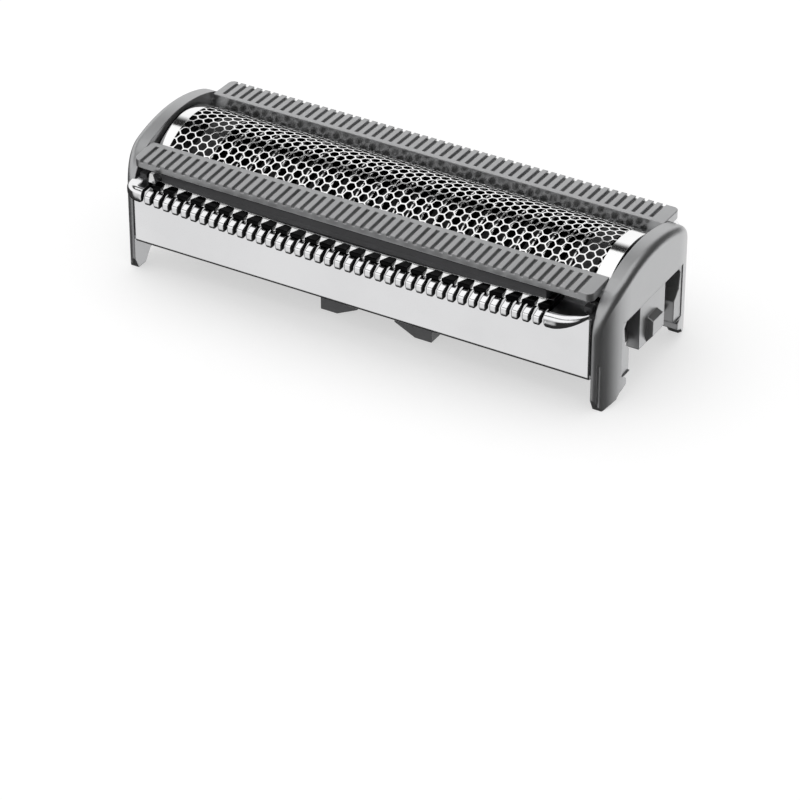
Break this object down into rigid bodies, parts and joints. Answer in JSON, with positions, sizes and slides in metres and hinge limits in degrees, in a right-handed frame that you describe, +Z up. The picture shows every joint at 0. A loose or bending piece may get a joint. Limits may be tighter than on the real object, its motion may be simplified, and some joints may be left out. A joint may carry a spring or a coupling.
{
  "type": "shaver head",
  "caption": "Slide-on head for a foil shaver: arched perforated foil over a sprung oscillating cutter, with a slotted trimmer comb and moving blade along each side.",
  "frame": {"origin": "centre of the plane on which the four leg tips stand, at the bottom of the bounding box", "axes": "+X along the head, from its trimmer-tab end of the front side to the other end; +Z up through the foil; -Y is the front side"},
  "size_m": [0.0438, 0.0192, 0.011],
  "materials": {
    "frame": "satin",
    "chassis": "matte",
    "inner": "matte",
    "coupling": "matte",
    "foil": "polished",
    "comb": "polished",
    "blade": "ground",
    "spring": "satin",
    "plate": "polished"
  },
  "bodies": {
    "head": {"frame": "frame", "chassis": "chassis", "foil_frame": "inner", "foil": "foil", "front_foil_clamp": "inner", "rear_foil_clamp": "inner", "front_comb": "comb", "rear_comb": "comb", "front_blade_spring": "spring", "rear_blade_spring": "spring", "front_plate": "plate", "rear_plate": "plate"},
    "oscillator": {"drive_bridge": "coupling", "front_blade_holder": "inner", "rear_blade_holder": "inner", "front_blade": "blade", "rear_blade": "blade", "left_cutter_spring": "spring", "right_cutter_spring": "spring"},
    "cutter": {"cutter_carrier": "inner", "cutter_lamellae": "blade"}
  },
  "joints": [
    {"name": "drive_stroke", "type": "slide", "parent": "head", "child": "oscillator", "axis": [1, 0, 0], "range_m": [-0.0012, 0.0004]},
    {"name": "cutter_float", "type": "slide", "parent": "oscillator", "child": "cutter", "axis": [0, 0, 1], "range_m": [-0.0005, 0], "stiffness_N_per_m": 300, "springref_m": 0.002, "deforming": ["left_cutter_spring", "right_cutter_spring"]}
  ]
}
